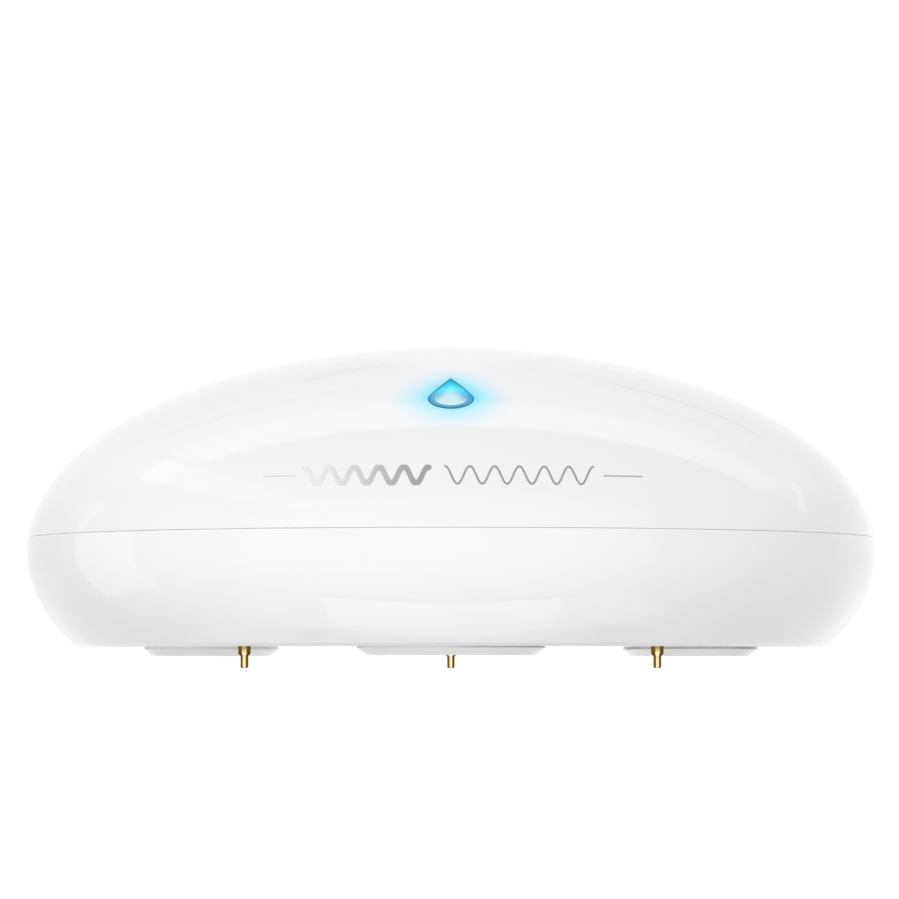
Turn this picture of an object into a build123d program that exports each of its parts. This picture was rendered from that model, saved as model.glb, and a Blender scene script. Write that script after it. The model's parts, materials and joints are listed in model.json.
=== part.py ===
from build123d import *
import math
import os

# Water leak sensor: a pebble-shaped case on three feet, with three sprung probes under it.
# Millimetres. The origin is the centre of the footprint, level with the tips of the probes.
# +Z is up, and the drop-shaped light window faces -Y.

# Shells
body_r = 36.0
cell_headroom = 3.7
underside_z = 1.75
equator_rise = 8.15
seam_rise = 1.1
wall = 1.8
floor_t = 1.8
seam_gap = 0.03
seam_edge_bevel = 0.08
base_edge_bevel = 0.25
shell_gap = 0.3
overrun = 2.0

# Neck of the housing, skirt of the cover and the seal between them
bore_inset = 3.4
neck_wall = 1.2
neck_h = 2.1
skirt_wall = 1.4
skirt_drop = 4.8
shoulder_drop = 0.4
seal_d = 1.3
seal_rise = 1.0
seal_gap = 0.05
seal_side_gap = 0.1

# Three-start bayonet: ramped ledges in the housing, lugs on the skirt
bayonet_starts = 3
bayonet_first_angle = 30.0
cover_rise_per_turn = 18.0
lug_w = 7.8
lug_h = 1.2
lug_lift = 0.4
ramp_gap = 0.15
ledge_w = 16.0
ledge_drop = 0.7
stop_gap = 0.3
stop_w = 1.5

# Drop-shaped light window, its lens and the light guide
window_inset = 9.4
drop_round_r = 1.86
drop_tip = 4.56
window_boss_grow = 1.2
window_boss_depth = 2.6
lens_gap = 0.03
lens_flange_grow = 0.9
lens_flange_t = 0.8
guide_top_r = 2.2
guide_foot_r = 1.4
guide_top_shift = 1.0
guide_over_led = 1.4

# Feet
foot_inset = 7.65
foot_length = 15.1
foot_width = 10.0
foot_t = 0.71
foot_bevel_w = 0.8
foot_edge_t = 0.15
foot_angles = {"front": -90.0, "right": 30.0, "left": 150.0}

# Probes
probe_inset = 11.95
probe_angles = {"rear": 90.0, "left": 210.0, "right": 330.0}
nose_r = 0.525
nose_out = 0.69
nose_taper_w = 0.1
nose_taper_h = 0.14
barrel_r = 1.2
barrel_seat_t = 0.6
barrel_h = 5.6
barrel_gap = 0.05
barrel_bore_r = 0.78
barrel_nose_t = 0.55
barrel_cap_t = 0.4
barrel_edge_round = 0.2
plunger_r = 0.36
plunger_gap = 0.02
plunger_tip_r = 0.33
plunger_tip_length = 0.96
plunger_tip_round = 0.14
plunger_head_r = 0.7
plunger_head_t = 0.6
spring_wire_r = 0.1
spring_wire_sides = 4
spring_mean_r = 0.54
spring_turns = 4
seat_gap = 0.02

# Main board on its bosses
boss_h = 1.3
boss_r = 2.2
board_t = 1.2
board_gap = 1.3
screw_inset = 2.1
screw_hole_r = 1.0
screw_hole_depth = 2.4
screw_gap = 0.05
screw_depth = 2.0
screw_head_r = 1.9
screw_head_t = 1.2
screw_head_bevel = 0.4
screw_slot_w = 0.4
screw_slot_depth = 0.5
board_notch_r = 1.5

# Battery and its holder
battery_r = 8.5
battery_length = 34.5
battery_bevel = 0.15
battery_cap_r = 3.2
battery_cap_t = 0.9
sleeve_t = 0.15
sleeve_lip = 1.6
battery_gap = 0.15
cradle_floor_t = 1.0
cradle_arm_t = 1.0
cradle_arm_w = 8.0
cradle_arm_rise = 3.0
cradle_trough_w = 10.8
cradle_end_w = 14.2
cradle_end_t = 1.2
cradle_end_rise = 3.6
cradle_board_gap = 0.25
contact_t = 0.3
contact_w = 5.0
contact_foot = 1.2
contact_dimple_r = 1.6
leaf_half_h = 3.6
leaf_reach = 0.9

# Parts on the board. Their places are shares of the board's radius.
led_size = (2.0, 1.3, 0.5)
led_dome_r = 0.55
mcu_size = (6.4, 6.4, 0.9)
mcu_place_share = (-0.02, -0.46)
radio_size = (10.4, 8.0, 2.2)
radio_place_share = (-0.39, -0.58)
radio_bevel = 0.2
crystal_size = (4.6, 1.8, 1.3)
crystal_place_share = (0.0, -0.66)
button_size = (6.0, 6.0, 3.4)
button_place_share = (0.33, -0.49)
button_cap_r = 1.7
button_cap_gap = 0.06
button_cap_out = 1.3
button_flange_r = 2.3
button_flange_t = 0.5
button_lid_t = 0.6
button_well_depth = 2.2
button_cap_bevel = 0.3
temperature_size = (2.9, 1.6, 1.1)
temperature_place_share = (0.6, -0.56)
tilt_size = (3.6, 3.6, 1.0)
tilt_place_share = (-0.76, 0.42)
chip_round = 0.25
buzzer_r = 6.0
buzzer_h = 5.4
buzzer_wall = 0.7
buzzer_hole_r = 1.0
buzzer_disc_t = 0.3
buzzer_disc_rise = 1.6
buzzer_disc_gap = 0.05
buzzer_rim_w = 0.5
buzzer_place_share = (-0.36, 0.6)
terminal_pitch = 3.5
terminal_poles = 4
terminal_depth = 6.6
terminal_h = 7.4
terminal_chamfer = 1.2
terminal_mouth_w = 2.5
terminal_mouth_h = 3.0
terminal_mouth_depth = 4.2
terminal_mouth_rise = 0.8
terminal_screw_r = 1.35
terminal_screw_t = 1.4
terminal_screw_gap = 0.05
terminal_screw_sink = 0.3
terminal_place_share = (0.45, 0.6)
antenna_wire_r = 0.4
antenna_leg_r = 0.3
antenna_inset = 1.9
antenna_rise = 2.0
antenna_from_angle = 146.0
antenna_sweep = 48.0
passive_size = (1.6, 0.8, 0.6)
passive_led_gap = 0.9
passive_place_shares = (
    (-0.18, -0.78), (0.22, -0.76), (0.14, -0.5),
    (0.48, -0.7), (0.28, -0.7), (-0.9, 0.1), (-0.9, -0.08),
    (0.8, 0.32), (0.8, 0.4), (0.88, -0.14),
)

# Levels and radii that follow from the sizes above
equator_z = underside_z + equator_rise
floor_z = underside_z + floor_t
cradle_bore_r = battery_r + battery_gap
battery_z = floor_z + cradle_floor_t + cradle_bore_r
body_half_h = battery_z + battery_r + cell_headroom + wall - equator_z
base_r = body_r * math.sqrt(1 - (equator_rise / body_half_h) ** 2)
foot_circle_r = base_r - foot_inset
probe_circle_r = base_r - probe_inset
window_r = body_r - window_inset
bore_r = body_r - bore_inset
seam_z = equator_z + seam_rise
housing_lip_z = seam_z - seam_gap / 2
cover_lip_z = seam_z + seam_gap / 2
inner_r = body_r - wall
inner_half_h = body_half_h - wall
neck_out_r = bore_r + neck_wall
neck_top_z = seam_z + neck_h
pocket_r = neck_out_r + shell_gap
pocket_top_z = neck_top_z + shell_gap
skirt_land_r = bore_r - shell_gap
groove_r = bore_r - seal_gap - seal_d - seal_gap
seal_z = seam_z + seal_rise
groove_low_z = seal_z - seal_d / 2 - seal_side_gap
groove_high_z = seal_z + seal_d / 2 + seal_side_gap
ledge_in_r = groove_r + shell_gap / 2
skirt_out_r = ledge_in_r - shell_gap
skirt_in_r = skirt_out_r - skirt_wall
skirt_bottom_z = seam_z - skirt_drop
shoulder_z = seam_z - shoulder_drop
lug_low_z = skirt_bottom_z + lug_lift
ledge_top_z = seam_z - ledge_drop
ramp_slope = cover_rise_per_turn / (math.pi * (ledge_in_r + bore_r))
feet_z = underside_z - foot_t
board_r = skirt_in_r - board_gap
board_low_z = floor_z + boss_h
board_top_z = board_low_z + board_t
screw_circle_r = board_r - screw_inset
barrel_low_z = underside_z + barrel_seat_t
barrel_top_z = barrel_low_z + barrel_h
plunger_head_z = barrel_low_z + barrel_nose_t + seat_gap
cradle_arm_r = cradle_bore_r + cradle_arm_t
cradle_inner_half = battery_length / 2 + contact_t + leaf_reach / 2
cradle_half = cradle_inner_half + cradle_end_t
battery_shift = leaf_reach / 2
terminal_w = terminal_pitch * terminal_poles


def oval_height(r, half_h, at_r):
    """Height of an oval's upper half at a distance from the axis."""
    return equator_z + half_h * math.sqrt(1 - (at_r / r) ** 2)


def oval_radius(r, half_h, at_z):
    """Radius of an oval at a height."""
    return r * math.sqrt(1 - ((at_z - equator_z) / half_h) ** 2)


def oval_depth(r, half_h, at_r):
    """Height of an oval's lower half at a distance from the axis."""
    return equator_z - half_h * math.sqrt(1 - (at_r / r) ** 2)


def oval_arc(r, half_h, low_rise, high_rise):
    """Arc of an oval in the X-Z half plane, between two heights counted from its widest ring."""
    low = math.degrees(math.asin(low_rise / half_h))
    high = math.degrees(math.asin(high_rise / half_h))
    return EllipticalCenterArc((0, equator_z), r, half_h, low, arc_size=high - low)


def spun(*edges):
    """Solid turned about the Z axis from edges in the X-Z half plane."""
    return revolve(Plane.XZ * make_face(Curve() + list(edges)), Axis.Z)


def turned(points):
    """Solid turned about the Z axis from a polygon in the X-Z half plane."""
    return revolve(Plane.XZ * make_face(Polyline(*points, close=True)), Axis.Z)


def ring(in_r, out_r, low_z, high_z):
    """Plain ring about the Z axis."""
    return Pos(0, 0, low_z) * extrude(Circle(out_r) - Circle(in_r), high_z - low_z)


def disc(r, low_z, high_z):
    """Plain disc or rod about the Z axis."""
    return Pos(0, 0, low_z) * extrude(Circle(r), high_z - low_z)


def block(size, place, low_z):
    """Box of a size, standing at a place on a level."""
    return Pos(place[0], place[1], low_z) * extrude(Rectangle(size[0], size[1]), size[2])


def on_board(place_share):
    """Place on the board from shares of its radius."""
    return (place_share[0] * board_r, place_share[1] * board_r)


def around(radius, angle):
    """Place on a circle about the Z axis."""
    return Pos(radius * math.cos(math.radians(angle)), radius * math.sin(math.radians(angle)), 0)


def ring_block(side_points, in_r, out_r, low_z, high_z, angle):
    """Piece of a ring whose side view, as (way round, height), is a polygon."""
    way_out = Vector(1, 0, 0).rotate(Axis.Z, angle)
    way_round = Vector(0, 1, 0).rotate(Axis.Z, angle)
    side = Plane(origin=(0, 0, 0), x_dir=way_round, z_dir=way_out)
    prism = extrude(side * make_face(Polyline(*side_points, close=True)), out_r + overrun)
    return prism & ring(in_r, out_r, low_z - overrun, high_z + overrun)


def bayonet_angles():
    """Angles of the bayonet's starts."""
    return [bayonet_first_angle + start * 360 / bayonet_starts for start in range(bayonet_starts)]


def pebble():
    """The outer form of both shells, whole."""
    bottom_z = equator_z - body_half_h
    top_z = equator_z + body_half_h
    side = oval_arc(body_r, body_half_h, -body_half_h, body_half_h)
    return spun(side, Line((0, top_z), (0, bottom_z)))


def window_plane():
    """Plane that touches the cover at the round centre of the window, with +Y up the slope."""
    height = oval_height(body_r, body_half_h, window_r)
    lean = math.atan2(window_r / body_r**2, (height - equator_z) / body_half_h**2)
    outward = (0, -math.sin(lean), math.cos(lean))
    return Plane(origin=(0, -window_r, height), x_dir=(1, 0, 0), z_dir=outward)


def drop_face(grow):
    """Drop outline, with its sides moved outwards by an amount."""
    r = drop_round_r + grow
    tip = drop_tip * r / drop_round_r
    side_x = r * math.sqrt(1 - (r / tip) ** 2)
    side_y = r * r / tip
    round_end = ThreePointArc((-side_x, side_y), (0, -r), (side_x, side_y))
    point = Polyline((side_x, side_y), (0, tip), (-side_x, side_y))
    return make_face(Curve() + [round_end, point])


def drop_prism(grow, low, high):
    """Drop-shaped prism across the window, between two depths along its outward direction."""
    return extrude(window_plane().offset(low) * drop_face(grow), high - low)


def cover_profile():
    """Turned form of the cover: dome, skirt with the seal's groove, and the neck's pocket."""
    apex_z = equator_z + body_half_h
    inner_apex_z = equator_z + inner_half_h
    bevel_z = cover_lip_z + seam_edge_bevel
    skirt_top_z = oval_height(inner_r, inner_half_h, skirt_in_r)
    skirt_points = (
        (skirt_in_r, skirt_top_z),
        (skirt_in_r, skirt_bottom_z),
        (skirt_out_r, skirt_bottom_z),
        (skirt_out_r, shoulder_z),
        (skirt_land_r, shoulder_z),
        (skirt_land_r, groove_low_z),
        (groove_r, groove_low_z),
        (groove_r, groove_high_z),
        (skirt_land_r, groove_high_z),
        (skirt_land_r, pocket_top_z),
        (pocket_r, pocket_top_z),
        (pocket_r, cover_lip_z),
        (oval_radius(body_r, body_half_h, cover_lip_z) - seam_edge_bevel, cover_lip_z),
        (oval_radius(body_r, body_half_h, bevel_z), bevel_z),
    )
    return spun(
        oval_arc(body_r, body_half_h, bevel_z - equator_z, body_half_h),
        Line((0, apex_z), (0, inner_apex_z)),
        oval_arc(inner_r, inner_half_h, skirt_top_z - equator_z, inner_half_h),
        Polyline(*skirt_points),
    )


def lugs():
    """The three lugs on the skirt, each with the slope of the ramp."""
    climb = ramp_slope * lug_w / 2
    side_points = (
        (-lug_w / 2, lug_low_z - climb),
        (lug_w / 2, lug_low_z + climb),
        (lug_w / 2, lug_low_z + climb + lug_h),
        (-lug_w / 2, lug_low_z - climb + lug_h),
    )
    in_r = skirt_out_r - skirt_wall / 2
    return [
        ring_block(side_points, in_r, skirt_land_r, skirt_bottom_z, seam_z, angle)
        for angle in bayonet_angles()
    ]


def top_cover():
    """Upper shell with its window."""
    cover = cover_profile() + lugs()
    cover += drop_prism(window_boss_grow, -window_boss_depth, -wall / 2)
    cover -= drop_prism(0, -window_boss_depth - overrun, overrun)
    return cover


def ledges():
    """The housing's ramped ledges, each with the stop that ends the cover's turn."""
    lug_top_z = lug_low_z + lug_h
    start = -lug_w / 2 - stop_gap
    end = start + ledge_w
    side_points = (
        (start, lug_top_z + ramp_gap + ramp_slope * start),
        (end, lug_top_z + ramp_gap + ramp_slope * end),
        (end, ledge_top_z),
        (start - stop_w, ledge_top_z),
        (start - stop_w, skirt_bottom_z),
        (start, skirt_bottom_z),
    )
    out_r = bore_r + neck_wall / 2
    return [
        ring_block(side_points, ledge_in_r, out_r, skirt_bottom_z, ledge_top_z, angle)
        for angle in bayonet_angles()
    ]


def housing_profile():
    """Turned form of the housing: bowl, flat underside and neck."""
    floor_r = oval_radius(inner_r, inner_half_h, floor_z)
    bore_low_z = oval_depth(inner_r, inner_half_h, bore_r)
    base_bevel_z = underside_z + base_edge_bevel
    lip_bevel_z = housing_lip_z - seam_edge_bevel
    neck_points = (
        (oval_radius(body_r, body_half_h, lip_bevel_z), lip_bevel_z),
        (oval_radius(body_r, body_half_h, housing_lip_z) - seam_edge_bevel, housing_lip_z),
        (neck_out_r, housing_lip_z),
        (neck_out_r, neck_top_z),
        (bore_r, neck_top_z),
        (bore_r, bore_low_z),
    )
    base_points = (
        (floor_r, floor_z),
        (0, floor_z),
        (0, underside_z),
        (base_r - base_edge_bevel, underside_z),
        (oval_radius(body_r, body_half_h, base_bevel_z), base_bevel_z),
    )
    return spun(
        oval_arc(body_r, body_half_h, base_bevel_z - equator_z, lip_bevel_z - equator_z),
        Polyline(*neck_points),
        oval_arc(inner_r, inner_half_h, floor_z - equator_z, bore_low_z - equator_z),
        Polyline(*base_points),
    )


def lower_housing():
    """Lower shell with the ledges, the board's bosses and the seats of the probes."""
    housing = housing_profile() + ledges()
    for angle in probe_angles.values():
        housing += around(screw_circle_r, angle) * disc(boss_r, floor_z, board_low_z)
    for angle in probe_angles.values():
        hole_low_z = board_low_z - screw_hole_depth
        screw_hole = disc(screw_hole_r, hole_low_z, board_low_z + overrun)
        nose_hole = disc(nose_r + barrel_gap, underside_z - overrun, floor_z)
        barrel_hole = disc(barrel_r + barrel_gap, barrel_low_z, floor_z + overrun)
        housing -= around(screw_circle_r, angle) * screw_hole
        housing -= around(probe_circle_r, angle) * (nose_hole + barrel_hole)
    return housing


def cover_seal():
    """O-ring in the groove of the cover's skirt."""
    centre_r = bore_r - seal_gap - seal_d / 2
    return revolve(Plane.XZ * Pos(centre_r, seal_z) * Circle(seal_d / 2), Axis.Z)


def indicator_lens():
    """Drop-shaped lens, flush with the cover, with the flange that bonds it inside."""
    plug = drop_prism(-lens_gap, -window_boss_depth, overrun) & pebble()
    flange = drop_prism(lens_flange_grow, -window_boss_depth - lens_flange_t, -window_boss_depth)
    return plug + flange


def guide_top_plane():
    """Back of the lens, where the light guide starts."""
    back = window_plane().offset(-window_boss_depth - lens_flange_t)
    return back * Pos(0, guide_top_shift)


def led_place():
    """Place of the status light, under the top of the guide."""
    return (0, guide_top_plane().position.Y)


def led_top_z():
    """Height of the status light's top."""
    return board_top_z + led_size[2] + led_dome_r


def light_guide():
    """Clear guide from the status light up to the lens."""
    foot = Pos(0, led_place()[1], led_top_z() + guide_over_led) * Circle(guide_foot_r)
    return loft([foot, guide_top_plane() * Circle(guide_top_r)])


def foot_pad(angle):
    """Bevelled oval foot that lies across the way out from the middle of the underside."""
    wide = Ellipse(foot_width / 2, foot_length / 2)
    narrow = Ellipse(foot_width / 2 - foot_bevel_w, foot_length / 2 - foot_bevel_w)
    edge = Pos(0, 0, underside_z - foot_edge_t) * extrude(wide, foot_edge_t)
    bevel = loft([Pos(0, 0, feet_z) * narrow, Pos(0, 0, underside_z - foot_edge_t) * wide], ruled=True)
    return around(foot_circle_r, angle) * Rot(0, 0, angle) * (edge + bevel)


def probe_barrel():
    """Gold barrel, turned, with its narrow nose; the board's pad presses on its closed top."""
    nose_z = underside_z - nose_out
    outer = turned((
        (0, nose_z),
        (nose_r - nose_taper_w, nose_z),
        (nose_r, nose_z + nose_taper_h),
        (nose_r, barrel_low_z),
        (barrel_r, barrel_low_z),
        (barrel_r, barrel_top_z - barrel_edge_round),
        (barrel_r - barrel_edge_round, barrel_top_z),
        (0, barrel_top_z),
    ))
    outer -= disc(plunger_r + plunger_gap, nose_z - overrun, barrel_top_z - barrel_cap_t)
    return outer - disc(barrel_bore_r, barrel_low_z + barrel_nose_t, barrel_top_z - barrel_cap_t)


def probe_plunger():
    """Gold plunger: narrow rounded tip, shoulder just out of the nose, and the head that the nose holds."""
    shoulder_z = underside_z - nose_out
    head_top_z = plunger_head_z + plunger_head_t
    rounding = RadiusArc((plunger_tip_r - plunger_tip_round, 0), (plunger_tip_r, plunger_tip_round),
                         -plunger_tip_round)
    side = Polyline(
        (plunger_tip_r, plunger_tip_round),
        (plunger_tip_r, plunger_tip_length),
        (plunger_r, shoulder_z),
        (plunger_r, plunger_head_z),
        (plunger_head_r, plunger_head_z),
        (plunger_head_r, head_top_z),
        (0, head_top_z),
        (0, 0),
        (plunger_tip_r - plunger_tip_round, 0),
    )
    return spun(rounding, side)


def spring_path():
    """Half turns of the probe's spring, each tilted so that it meets the next without a kink."""
    low_z = plunger_head_z + plunger_head_t + seat_gap + spring_wire_r
    high_z = barrel_top_z - barrel_cap_t - seat_gap - spring_wire_r
    half_turns = 2 * spring_turns
    step = (high_z - low_z) / half_turns
    arcs = []
    for half_turn in range(half_turns):
        side = 1 - 2 * (half_turn % 2)
        start = Vector(side * spring_mean_r, 0, low_z + half_turn * step)
        end = Vector(-side * spring_mean_r, 0, low_z + (half_turn + 1) * step)
        reach = (end - start).length / 2
        arcs.append(ThreePointArc(start, Vector(0, side * reach, (start.Z + end.Z) / 2), end))
    return Wire(arcs)


def probe_spring():
    """Wound spring between the plunger's head and the barrel's closed top, of faceted wire."""
    path = spring_path()
    wire = RegularPolygon(spring_wire_r, spring_wire_sides)
    section = Plane(origin=path @ 0, x_dir=(1, 0, 0), z_dir=path % 0) * wire
    return sweep(section, path=path)


def least_spring_gap():
    """Least distance between two turns of the spring, surface to surface, on sampled points."""
    path = spring_path()
    samples = 24 * spring_turns
    points = [path @ (sample / samples) for sample in range(samples + 1)]
    apart = samples // (2 * spring_turns)
    gaps = [
        (points[i] - points[j]).length
        for i in range(samples + 1)
        for j in range(i + apart, samples + 1)
    ]
    return min(gaps) - spring_wire_r - spring_wire_r


def cradle_gap_half_w():
    """Half width of the board's opening, where the holder's arms pass through it."""
    drop = battery_z - board_top_z
    return math.sqrt(cradle_arm_r**2 - drop**2) + cradle_board_gap


def main_board():
    """Round board with the battery's opening, screw holes and holes for the probe barrels."""
    opening_half = cradle_half + cradle_board_gap
    opening = RectangleRounded(2 * opening_half, 2 * cradle_gap_half_w(), board_notch_r)
    outline = Circle(board_r) - opening
    for angle in probe_angles.values():
        outline -= around(screw_circle_r, angle) * Circle(screw_hole_r + screw_gap)
        outline -= around(probe_circle_r, angle) * Circle(barrel_r + barrel_gap)
    return Pos(0, 0, board_low_z) * extrude(outline, board_t)


def board_screws():
    """Three screws that hold the board on its bosses."""
    head_z = board_top_z + screw_head_t
    screw = turned((
        (0, board_low_z - screw_depth),
        (screw_hole_r - screw_gap, board_low_z - screw_depth),
        (screw_hole_r - screw_gap, board_top_z),
        (screw_head_r, board_top_z),
        (screw_head_r, head_z - screw_head_bevel),
        (screw_head_r - screw_head_bevel, head_z),
        (0, head_z),
    ))
    slot_size = (2 * screw_head_r, screw_slot_w, screw_slot_depth + overrun)
    screw -= block(slot_size, (0, 0), head_z - screw_slot_depth)
    return [around(screw_circle_r, angle) * screw for angle in probe_angles.values()]


def lengthwise(solid):
    """A solid turned about Z, laid along +X on the battery's axis."""
    return Pos(battery_shift, 0, battery_z) * Rot(0, 90, 0) * solid


def battery_cell():
    """Metal can of the cell, inside its sleeve."""
    low = -battery_length / 2
    high = battery_length / 2 - battery_cap_t
    return lengthwise(disc(battery_r - sleeve_t - seat_gap, low, high))


def battery_cap():
    """Positive cap on the cell's end."""
    high = battery_length / 2
    return lengthwise(disc(battery_cap_r, high - battery_cap_t, high))


def battery_sleeve():
    """Plain sleeve round the cell, folded over its rims."""
    low = -battery_length / 2 - sleeve_t
    high = battery_length / 2 - battery_cap_t + sleeve_t
    can = chamfer(disc(battery_r, low, high).edges().filter_by(GeomType.CIRCLE), battery_bevel)
    hollow = disc(battery_r - sleeve_t, low + sleeve_t, high - sleeve_t)
    mouth = disc(battery_r - sleeve_lip, low - overrun, high + overrun)
    return lengthwise(can - hollow - mouth)


def battery_holder():
    """Holder: a trough on the floor with two end walls and a pair of curved arms."""
    wall_low_z = board_top_z + cradle_board_gap
    wall_high_z = battery_z + cradle_end_rise
    trough_size = (2 * cradle_half, cradle_trough_w, battery_z - floor_z)
    end_size = (cradle_end_t, cradle_end_w, wall_high_z - wall_low_z)
    end_x = cradle_half - cradle_end_t / 2
    bore = Pos(0, 0, battery_z) * Rot(0, 90, 0) * disc(cradle_bore_r, -cradle_inner_half, cradle_inner_half)
    rod = Pos(0, 0, battery_z) * Rot(0, 90, 0) * disc(cradle_arm_r, -cradle_arm_w / 2, cradle_arm_w / 2)
    arm_size = (cradle_arm_w, 2 * cradle_arm_r, battery_z + cradle_arm_rise - floor_z)
    holder = block(trough_size, (0, 0), floor_z) + (rod & block(arm_size, (0, 0), floor_z)) - bore
    return holder + block(end_size, (end_x, 0), wall_low_z) + block(end_size, (-end_x, 0), wall_low_z)


def contact_hook():
    """Strip bent over a holder's end wall, from the battery's side down to the board, in X-Z."""
    inside = cradle_inner_half
    outside = cradle_half
    top_z = battery_z + cradle_end_rise
    low_z = battery_z - leaf_half_h
    points = (
        (inside - contact_t, low_z),
        (inside, low_z),
        (inside, top_z),
        (outside, top_z),
        (outside, board_top_z),
        (outside + contact_foot, board_top_z),
        (outside + contact_foot, board_top_z + contact_t),
        (outside + contact_t, board_top_z + contact_t),
        (outside + contact_t, top_z + contact_t),
        (inside - contact_t, top_z + contact_t),
    )
    outline = Plane.XZ * make_face(Polyline(*points, close=True))
    return extrude(outline, contact_w / 2, both=True)


def battery_contact_positive():
    """Positive contact with the dimple that meets the cell's cap."""
    cap_x = battery_shift + battery_length / 2
    reach = cradle_inner_half - cap_x
    dimple = disc(contact_dimple_r, cap_x, cap_x + reach)
    return contact_hook() + Pos(0, 0, battery_z) * Rot(0, 90, 0) * dimple


def battery_contact_negative():
    """Negative contact with the bowed leaf that presses on the cell."""
    root_x = cradle_inner_half - contact_t
    touch_x = battery_length / 2 - battery_shift + sleeve_t
    low_z = battery_z - leaf_half_h
    high_z = battery_z + leaf_half_h
    outer = ThreePointArc((root_x, low_z), (touch_x, battery_z), (root_x, high_z))
    inner = ThreePointArc(
        (root_x, high_z - contact_t), (touch_x + contact_t, battery_z), (root_x, low_z + contact_t)
    )
    sides = [Line(outer @ 1, inner @ 0), Line(inner @ 1, outer @ 0)]
    leaf = extrude(Plane.XZ * make_face(Curve() + [outer, inner] + sides), contact_w / 2, both=True)
    return Rot(0, 0, 180) * (contact_hook() + leaf)


def status_led():
    """Light on the board, under the guide."""
    base = block(led_size, led_place(), board_top_z)
    dome = Pos(0, led_place()[1], board_top_z + led_size[2]) * Sphere(led_dome_r)
    above = block((led_size[0], led_size[0], overrun), led_place(), board_top_z + led_size[2])
    return base + (dome & above)


def chip(size, place_share):
    """Moulded chip with rounded upright edges, flat on the board."""
    outline = RectangleRounded(size[0], size[1], chip_round)
    place = on_board(place_share)
    return Pos(place[0], place[1], board_top_z) * extrude(outline, size[2])


def radio_module():
    """Radio under its metal shield."""
    shield = chip(radio_size, radio_place_share)
    return chamfer(shield.edges().group_by(Axis.Z)[-1], radio_bevel)


def button_base():
    """Body of the tamper button, with the well that its cap slides in."""
    place = on_board(button_place_share)
    top_z = board_top_z + button_size[2]
    base = block(button_size, place, board_top_z)
    well = disc(button_flange_r + button_cap_gap, top_z - button_well_depth, top_z - button_lid_t)
    mouth = disc(button_cap_r + button_cap_gap, top_z - button_well_depth, top_z + overrun)
    return base - Pos(place[0], place[1]) * (well + mouth)


def button_cap():
    """Cap of the tamper button, held in the well by its flange."""
    place = on_board(button_place_share)
    top_z = board_top_z + button_size[2]
    flange_top_z = top_z - button_lid_t - button_cap_gap
    stem = disc(button_cap_r, flange_top_z - button_flange_t, top_z + button_cap_out)
    stem = chamfer(stem.edges().group_by(Axis.Z)[-1], button_cap_bevel)
    flange = disc(button_flange_r, flange_top_z - button_flange_t, flange_top_z)
    return Pos(place[0], place[1]) * (stem + flange)


def buzzer_case():
    """Round case of the buzzer, open below, with its sound hole and the step for its disc."""
    place = on_board(buzzer_place_share)
    top_z = board_top_z + buzzer_h
    disc_z = board_top_z + buzzer_disc_rise
    inside_r = buzzer_r - buzzer_wall
    case = chamfer(disc(buzzer_r, board_top_z, top_z).edges().group_by(Axis.Z)[-1], buzzer_rim_w)
    case -= disc(inside_r, board_top_z - overrun, disc_z + buzzer_disc_t + buzzer_disc_gap)
    case -= disc(inside_r - buzzer_rim_w, board_top_z, top_z - buzzer_wall)
    case -= disc(buzzer_hole_r, board_top_z, top_z + overrun)
    return Pos(place[0], place[1]) * case


def buzzer_disc():
    """Sounding disc under the step of the buzzer's case."""
    place = on_board(buzzer_place_share)
    disc_z = board_top_z + buzzer_disc_rise
    plate = disc(buzzer_r - buzzer_wall - buzzer_disc_gap, disc_z, disc_z + buzzer_disc_t)
    return Pos(place[0], place[1]) * plate


def terminal_xs():
    """Places of the terminal's poles along its length."""
    first = (terminal_pitch - terminal_w) / 2
    return [first + pole * terminal_pitch for pole in range(terminal_poles)]


def terminal_block():
    """Screw terminal with a wire mouth and a screw well for each pole."""
    place = on_board(terminal_place_share)
    top_z = board_top_z + terminal_h
    body = block((terminal_w, terminal_depth, terminal_h), (0, 0), board_top_z)
    top_rear = body.edges().group_by(Axis.Z)[-1].sort_by(Axis.Y)[-1]
    body = chamfer(top_rear, terminal_chamfer)
    mouth_size = (terminal_mouth_w, terminal_mouth_depth + overrun, terminal_mouth_h)
    mouth_y = terminal_depth / 2 - terminal_mouth_depth + mouth_size[1] / 2
    well_low_z = top_z - terminal_screw_t - terminal_screw_sink
    well = disc(terminal_screw_r + terminal_screw_gap, well_low_z, top_z + overrun)
    for x in terminal_xs():
        body -= block(mouth_size, (x, mouth_y), board_top_z + terminal_mouth_rise)
        body -= Pos(x, -terminal_chamfer / 2) * well
    return Pos(place[0], place[1]) * body


def terminal_screws():
    """Clamp screws of the terminal, one for each pole."""
    place = on_board(terminal_place_share)
    low_z = board_top_z + terminal_h - terminal_screw_t - terminal_screw_sink
    screw = disc(terminal_screw_r, low_z, low_z + terminal_screw_t)
    slot_size = (2 * terminal_screw_r, screw_slot_w, screw_slot_depth + overrun)
    screw -= block(slot_size, (0, 0), low_z + terminal_screw_t - screw_slot_depth)
    return [Pos(place[0] + x, place[1] - terminal_chamfer / 2) * screw for x in terminal_xs()]


def antenna():
    """Wire antenna that follows the board's edge on two legs."""
    wire_z = board_top_z + antenna_rise
    centre_r = board_r - antenna_inset
    section = Plane.XZ * Pos(centre_r, wire_z) * Circle(antenna_wire_r)
    bow = Rot(0, 0, antenna_from_angle) * revolve(section, Axis.Z, antenna_sweep)
    leg = disc(antenna_leg_r, board_top_z, wire_z)
    for angle in (antenna_from_angle, antenna_from_angle + antenna_sweep):
        bow += around(centre_r, angle) * leg
    return bow


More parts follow.
